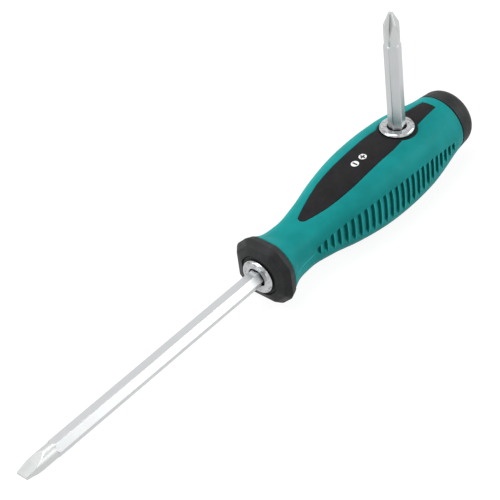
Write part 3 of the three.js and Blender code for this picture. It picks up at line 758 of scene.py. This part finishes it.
def build_collar(sizes, colours):
    """Square collar with cut corners: rings along a profile of rim, broad bevel and shallow face to a mouth.

    Each ring is the profile's half width times a mix of a circle, a soft outline at the rim and a crisp one
    at the bevel's inner edge.
    """
    bore, mouth = 8.3 * MM, 8.6 * MM
    rim = COLLAR_REAR + 2.9 * MM
    bevel = rim + sizes.collar_bevel
    tail, shoulder = COLLAR_HALF - 0.5 * MM, COLLAR_HALF - 1.9 * MM
    tail_squareness = 0.57
    corners = [(COLLAR_REAR, bore), (COLLAR_REAR, tail), (rim, COLLAR_HALF), (bevel, shoulder),
               (COLLAR_FRONT, mouth), (COLLAR_FRONT, bore), (COLLAR_REAR, bore)]
    profile = rounded(corners, MM * np.array([0.3, 0.4, 0.35, 0.18, 0.12]))
    x, half = profile[:, :1, None], profile[:, 1:, None]
    soft, crisp = cut_square(1.07, 0.4), cut_square(1.06, 0.15)
    circle = soft / np.linalg.norm(soft, axis=-1, keepdims=True)
    outline = soft + np.clip((x - rim) / (bevel - rim), 0, 1) * (crisp - soft)
    square = np.clip((half - mouth) / (shoulder - mouth), 0, 1)
    square = np.minimum(square, np.interp(x, [COLLAR_REAR, rim], [tail_squareness, 1]))
    across = half * (circle + square * (outline - circle))
    points = np.concatenate([x + 0 * across[..., :1], across], -1)
    make_object("visual_front_collar", points, [quads(*points.shape[:2])], hard_plastic(colours), "handle",
                ("front_collar",), sharp=30)


def build_cap(sizes, colours):
    """Round end cap: a profile with a flat face, a large shoulder arc and a drafted band, turned round."""
    face, deep, draft = MM * np.array([8.4, 9, 0.5])
    sides = 160
    low = deep - sizes.cap_band
    radius = CAP_RADIUS - draft - face
    part = np.linspace(0, np.pi / 2, 22)
    flat = np.array([[0, 0], [face * 0.6, 0]])
    arc = np.stack([face + radius * np.sin(part), low * (1 - np.cos(part))], 1)
    corners = [(CAP_RADIUS - draft, low), (CAP_RADIUS, deep), (CAP_RADIUS - 4 * MM, deep)]
    band_line = rounded(corners, [0.25 * MM])
    profile = np.concatenate([flat, arc, band_line[1:], [[0, deep]]])
    points = placed(revolved(profile, sides), (CAP_REAR, 0, 0), (0, 1, 0), (0, 0, 1), (1, 0, 0))
    make_object("visual_end_cap", points, [quads(len(profile), sides)], hard_plastic(colours), "handle",
                ("end_cap",))


def build_ferrules(sizes, colours):
    """Flanged ferrules: a barrel, a flange with a round rim and a bevelled hole, turned round each blade."""
    hole, bevel, barrel, end = MM * np.array([3.7, 0.35, 6.2, -4.2])
    sides = 128
    corners = [(hole, end), (barrel, end), (barrel, -sizes.flange), (FLANGE_RADIUS, -sizes.flange),
               (FLANGE_RADIUS, 0), (hole + bevel, 0), (hole, -bevel), (hole, end)]
    profile = rounded(corners, MM * np.array([0.3, 0.1, 0.2, 1.1, 0.12, 0.12]), 12)
    finish = finish_of("polished_chrome_plate", polished_finish, colours)
    faces = [quads(len(profile), sides)]
    for name, carry in (("front_ferrule", front_place), ("cross_ferrule", cross_place)):
        points = carry(revolved(profile, sides))
        make_object("visual_" + name, points, faces, finish, "handle", (name,))


def hexagon(angle, flat):
    """Radius of a hexagon with slightly rounded corners on the Y axis: flat over a high norm of |cos|."""
    norm = 36
    sides = np.radians([0, 60, 120])
    reach = np.abs(np.cos(angle[..., None] - sides)) ** norm
    return flat / reach.sum(-1) ** (1 / norm)


def slotted(x, y, back, sizes):
    """Slotted tip: circle clipped to two hollow-ground flats and to two tapering sides.

    The flats follow a parabola from half the edge's thickness to the neck, pulled in by the hollow.
    """
    run, taper, hollow = 9.9 * MM, 8.5 * MM, 1.2 * MM
    neck = sizes.neck / 2
    half_thick, half_wide = sizes.edge_thickness / 2, sizes.edge_width / 2
    part = np.clip(back / run, 0, 1)
    thick = neck * part ** 2 + 2 * hollow * part * (1 - part) + half_thick * (1 - part) ** 2
    broad = half_wide + (neck - half_wide) * np.clip(back / taper, 0, 1)
    thick = np.where(back < run, thick, np.inf)
    broad = np.where(back < run, broad, np.inf)
    return np.clip(x, -thick, thick), np.clip(y, -broad, broad)


def flute_turn(angle):
    """Angle from the root of the nearest flute."""
    return np.mod(angle + WING_TURN, np.pi / 2) - np.pi / 4


def crossed(x, y, back, sizes):
    """Cross tip: a blunt cone with four V flutes between the wings, each root curving out to the neck."""
    point, root_at_point, root_run = 0.95 * MM, 0.62 * MM, 10.5 * MM
    root_power = 1.45
    cone_angle, half_opening = math.radians(26.5), math.radians(55)
    neck = sizes.neck / 2
    radius, angle = np.hypot(x, y), np.arctan2(y, x)
    cone = point + back * math.tan(cone_angle)
    root = root_at_point + (neck - root_at_point) * (back / root_run) ** root_power
    turn = flute_turn(angle)
    flute = root / np.maximum(np.cos(turn) - np.abs(np.sin(turn)) / math.tan(half_opening), 0.01)
    radius = np.minimum(radius, np.minimum(cone, flute))
    return radius * np.cos(angle), radius * np.sin(angle)


def flute_painted_shade(angle, back):
    """Painted shade in the flutes: a bell of 7 degrees about each root, from just behind the point to 9 mm
    back.
    """
    run = smoothstep(back, 0.2 * MM, 0.8 * MM) * (1 - smoothstep(back, 5.5 * MM, 9 * MM))
    return run * np.exp(-(flute_turn(angle) / math.radians(7)) ** 2)


def blade_stations(tip):
    """Distances from an end of a blade: close at the tip and the shoulder, then the bar."""
    return np.concatenate([
        np.linspace(0, tip - 0.3 * MM, 46),
        tip + MM * np.array([-0.05, -0.001]),
        tip + np.linspace(0, 1.5 * MM, 22),
        [tip + 3 * MM],
    ])


def blade(reach, depth, outer, inner, sizes, sides=288):
    """Rings of a double-ended blade: a hexagon with bevelled shoulders, turned necks and a tip at each end.

    Heights run from minus depth inside the handle, through 0 at the ferrule's face, to reach outside it.
    """
    shapes = {"slotted": slotted, "crossed": crossed}
    bevel = 1.1 * MM
    angle = np.linspace(0, 2 * np.pi, sides, endpoint=False)[None]
    out = reach - blade_stations(TIP_LENGTH[outer])
    into = blade_stations(TIP_LENGTH[inner]) - depth
    height = np.concatenate([into, out[::-1]])[:, None]
    ends = [(reach - height, outer), (height + depth, inner)]
    flat, neck = sizes.flats / 2, sizes.neck / 2
    slope = (flat / math.cos(math.pi / 6) - flat) / bevel
    radius = hexagon(angle, flat) + 0 * height
    for back, kind in ends:
        tip = TIP_LENGTH[kind]
        radius = np.where(back < tip, neck, np.minimum(radius, flat + (back - tip) * slope))
    x, y = radius * np.cos(angle), radius * np.sin(angle)
    for back, kind in ends:
        cut_x, cut_y = shapes[kind](x, y, back + 0 * x, sizes)
        x = np.where(back < TIP_LENGTH[kind], cut_x, x)
        y = np.where(back < TIP_LENGTH[kind], cut_y, y)
    points = np.stack([x, y, height + 0 * x], -1)
    pole = np.array([0, 0, 1.0])
    points = np.concatenate([points[:1] * pole, points, points[-1:] * pole])
    height = points[..., 2]
    ends = [(reach - height, outer), (height + depth, inner)]
    wrapped = np.stack([angle * flat + 0 * height, height], -1)
    shaped = np.logical_or(*[back < TIP_LENGTH[kind] for back, kind in ends])
    # Painted shade in the flute roots of each crossed tip
    film = sum(flute_painted_shade(angle, back) for back, kind in ends if kind == "crossed")
    return points, wrapped, {"shaped": shaped.ravel(), "film": film.ravel()}


def build_blades(sizes, colours):
    """Both blades, each on its own sliding body."""
    finish = finish_of("satin_ground_chrome", ground_finish, colours)
    long = blade(LONG_TIP - FRONT_FACE, FRONT_FACE - LONG_END, "slotted", "crossed", sizes)
    short = blade(SHORT_TIP - CROSS_FACE, CROSS_FACE - SHORT_END, "crossed", "slotted", sizes)
    for name, carry, made in (("long_blade", front_place, long), ("short_blade", cross_place, short)):
        points, wrapped, tones = made
        faces = [quads(*points.shape[:2])]
        make_object("visual_" + name, carry(points), faces, finish, name, (name,), sharp=25,
                    wrapped=wrapped, tones=tones)


def build_marks(sizes, colours):
    """Two printed discs on the panel, one with a plus and one with a minus.

    Each is a thin cap over the handle's top, and its map is the place on a disc of radius 1.
    """
    proud, thickness = 0.03 * MM, 0.06 * MM
    part = np.linspace(0, 1, 14)[:, None]
    angle = np.linspace(0, 2 * np.pi, 72, endpoint=False)[None]
    u, v = part * np.cos(angle), part * np.sin(angle)
    wrapped = np.stack([u, v], -1).reshape(-1, 2)
    for name, at, plus in (("plus_mark", 55.9 * MM, True), ("minus_mark", 60.6 * MM, False)):
        x, y = at + u * sizes.mark / 2, v * sizes.mark / 2
        outer = np.stack([x, y, crown(x, y) + proud], -1)
        inner = outer - np.array([0, 0, thickness])
        points, faces = shell(outer, inner, [quads(*x.shape)[:, ::-1]])
        finish = finish_of("printed_" + name, mark_finish, colours, plus)
        make_object("visual_" + name, points, faces, finish, "handle", (),
                    wrapped=np.concatenate([wrapped, wrapped]))


def dress(node, finish):
    """Gives a carried-over piece one finish."""
    node.data.materials.clear()
    node.data.materials.append(finish)


def dress_hidden(sizes, colours):
    """Finishes of the CAD pieces inside the handle."""
    steel = finish_of("plain_pressed_steel", steel_finish, colours)
    hidden = ["front_socket", "cross_socket", "front_retaining_ring", "cross_retaining_ring",
              "front_thrust_plate", "cross_thrust_plate"]
    for name in hidden:
        dress(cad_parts[name], steel)
    dress(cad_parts["handle_core"], hard_plastic(colours))


# Stage

def light_panel(name, stand, wide, tall, power, mirrored=True):
    """A soft rectangular lamp that looks at the tool; one that isn't mirrored leaves polished metal alone."""
    aim = Vector((0.1, 0, 0))
    lamp = bpy.data.lights.new(name, "AREA")
    lamp.shape = "RECTANGLE"
    lamp.size, lamp.size_y = wide, tall
    lamp.energy = power
    item = bpy.data.objects.new(name, lamp)
    item.visible_glossy = mirrored
    item.location = stand
    item.rotation_euler = (aim - Vector(stand)).to_track_quat("-Z", "Y").to_euler()
    bpy.context.scene.collection.objects.link(item)
    return item


def white_to_eye(tree, inner, outer):
    """Mixes in a second shader for the rays that come straight, reflected or refracted from the camera."""
    rays = add(tree, "ShaderNodeLightPath").node.outputs
    seen = rays["Is Camera Ray"]
    for kind in ("Is Glossy Ray", "Is Transmission Ray"):
        seen = add(tree, "ShaderNodeMath", {0: seen, 1: rays[kind]}, operation="MAXIMUM")
    return add(tree, "ShaderNodeMixShader", {0: seen, 1: inner, 2: outer})


def build_floor(colours):
    """Pale paper under the tool: white to the camera, with the tool's soft shadow kept."""
    reach = 3.0
    level = FLOOR_LEVEL - 0.05 * MM
    corners = [(x, y, level) for x, y in ((-reach, -reach), (reach, -reach), (reach, reach), (-reach, reach))]
    mesh = bpy.data.meshes.new("floor")
    mesh.from_pydata(corners, [], [(0, 1, 2, 3)])
    finish, tree = new_finish("pale_paper_floor")
    plain = add(tree, "ShaderNodeBsdfDiffuse", {"Color": colours.floor})
    faint = add(tree, "ShaderNodeBsdfDiffuse", {"Color": linear("#737373")})
    glow = add(tree, "ShaderNodeEmission", {"Color": linear("#FFFFFF"), "Strength": 0.89})
    lit = add(tree, "ShaderNodeAddShader", {0: faint, 1: glow})
    add(tree, "ShaderNodeOutputMaterial", {"Surface": white_to_eye(tree, plain, lit)})
    mesh.materials.append(finish)
    floor = bpy.data.objects.new("floor", mesh)
    bpy.context.scene.collection.objects.link(floor)
    return floor


def build_world():
    """Even studio surround, white where the camera sees it."""
    world = bpy.data.worlds.new("studio")
    world.use_nodes = True
    tree = world.node_tree
    tree.nodes.clear()
    soft = add(tree, "ShaderNodeBackground", {"Color": linear("#F9FCFF"), "Strength": 0.28})
    white = add(tree, "ShaderNodeBackground", {"Color": linear("#FFFFFF"), "Strength": 1.05})
    add(tree, "ShaderNodeOutputWorld", {"Surface": white_to_eye(tree, soft, white)})
    bpy.context.scene.world = world


def build_camera():
    """Long lens at the photograph's angle, rolled as there."""
    camera = bpy.data.cameras.new("camera")
    camera.sensor_width = 36
    camera.lens = 110.16
    camera.clip_start = 0.02
    item = bpy.data.objects.new("camera", camera)
    right = Vector((-0.65564, 0.74706, -0.10947))
    upward = Vector((-0.54343, -0.36622, 0.75541))
    back = Vector((0.52421, 0.55471, 0.64602))
    stand = Vector((0.4045, 0.3005, 0.3641))
    turn = Matrix((right, upward, back)).transposed().to_4x4()
    item.matrix_world = Matrix.Translation(stand) @ turn
    bpy.context.scene.collection.objects.link(item)
    bpy.context.scene.camera = item


def build_stage(sizes, colours):
    """Floor, surround, lamps and camera."""
    lamps = [
        light_panel("rear_softbox", (-0.7, 0.55, 0.42), 0.5, 0.5, 4),
        light_panel("front_softbox", (0.75, -0.4, 0.42), 0.5, 0.5, 2.4),
        light_panel("side_softbox", (-0.35, 0.62, 0.36), 0.6, 0.5, 1.4),
        light_panel("far_softbox", (-0.35, -0.7, 0.5), 0.6, 0.4, 0.12),
        light_panel("low_softbox", (0.1, -0.8, 0.14), 0.6, 0.2, 4.5, mirrored=False),
        light_panel("top_softbox", (0.25, -0.15, 0.8), 0.5, 0.5, 3.6),
    ]
    build_world()
    build_floor(colours)
    build_camera()
    bpy.context.scene.view_settings.view_transform = "Standard"


# Operators and panel

def run(context, builder):
    """Builds one group; every builder takes the scene's own sizes and colours."""
    builder(context.scene.screwdriver_sizes, context.scene.screwdriver_colours)
    return {"FINISHED"}


class SCREWDRIVER_OT_grip(bpy.types.Operator):
    """Make the rubber grip"""
    bl_idname = "screwdriver.grip"
    bl_label = "Grip"

    def execute(self, context):
        return run(context, build_grip)


class SCREWDRIVER_OT_panel(bpy.types.Operator):
    """Make the inlaid panel"""
    bl_idname = "screwdriver.panel"
    bl_label = "Panel"

    def execute(self, context):
        return run(context, build_panel)


class SCREWDRIVER_OT_collar(bpy.types.Operator):
    """Make the squared collar"""
    bl_idname = "screwdriver.collar"
    bl_label = "Collar"

    def execute(self, context):
        return run(context, build_collar)


class SCREWDRIVER_OT_cap(bpy.types.Operator):
    """Make the end cap"""
    bl_idname = "screwdriver.cap"
    bl_label = "End cap"

    def execute(self, context):
        return run(context, build_cap)


class SCREWDRIVER_OT_ferrules(bpy.types.Operator):
    """Make both ferrules"""
    bl_idname = "screwdriver.ferrules"
    bl_label = "Ferrules"

    def execute(self, context):
        return run(context, build_ferrules)


class SCREWDRIVER_OT_blades(bpy.types.Operator):
    """Make both blades"""
    bl_idname = "screwdriver.blades"
    bl_label = "Blades"

    def execute(self, context):
        return run(context, build_blades)


class SCREWDRIVER_OT_marks(bpy.types.Operator):
    """Make the printed marks"""
    bl_idname = "screwdriver.marks"
    bl_label = "Marks"

    def execute(self, context):
        return run(context, build_marks)


class SCREWDRIVER_OT_hidden(bpy.types.Operator):
    """Finish the pieces inside the handle"""
    bl_idname = "screwdriver.hidden"
    bl_label = "Hidden pieces"

    def execute(self, context):
        return run(context, dress_hidden)


class SCREWDRIVER_OT_stage(bpy.types.Operator):
    """Make the floor, lamps, surround and camera"""
    bl_idname = "screwdriver.stage"
    bl_label = "Stage"

    def execute(self, context):
        return run(context, build_stage)


OPERATORS = (
    SCREWDRIVER_OT_grip, SCREWDRIVER_OT_panel, SCREWDRIVER_OT_collar, SCREWDRIVER_OT_cap,
    SCREWDRIVER_OT_ferrules, SCREWDRIVER_OT_blades, SCREWDRIVER_OT_marks, SCREWDRIVER_OT_hidden,
    SCREWDRIVER_OT_stage)


class SCREWDRIVER_PT_panel(bpy.types.Panel):
    """Sizes, colours and the steps that build the screwdriver"""
    bl_label = "Reversible screwdriver"
    bl_space_type = "VIEW_3D"
    bl_region_type = "UI"
    bl_category = "Screwdriver"

    def draw(self, context):
        for group in (context.scene.screwdriver_sizes, context.scene.screwdriver_colours):
            for name in group.__annotations__:
                self.layout.prop(group, name)
        for operator in OPERATORS:
            self.layout.operator(operator.bl_idname)


CLASSES = (ScrewdriverSizes, ScrewdriverColours, *OPERATORS, SCREWDRIVER_PT_panel)


def register():
    """Registers the classes and hangs the settings on the scene."""
    for item in CLASSES:
        bpy.utils.register_class(item)
    bpy.types.Scene.screwdriver_sizes = bpy.props.PointerProperty(type=ScrewdriverSizes)
    bpy.types.Scene.screwdriver_colours = bpy.props.PointerProperty(type=ScrewdriverColours)


def unregister():
    """Takes the settings and the classes away again."""
    del bpy.types.Scene.screwdriver_colours
    del bpy.types.Scene.screwdriver_sizes
    for item in reversed(CLASSES):
        bpy.utils.unregister_class(item)


def main():
    """Builds every group in order."""
    register()
    bpy.ops.screwdriver.grip()
    bpy.ops.screwdriver.panel()
    bpy.ops.screwdriver.collar()
    bpy.ops.screwdriver.cap()
    bpy.ops.screwdriver.ferrules()
    bpy.ops.screwdriver.blades()
    bpy.ops.screwdriver.marks()
    bpy.ops.screwdriver.hidden()
    bpy.ops.screwdriver.stage()


if __name__ == "__main__":
    main()
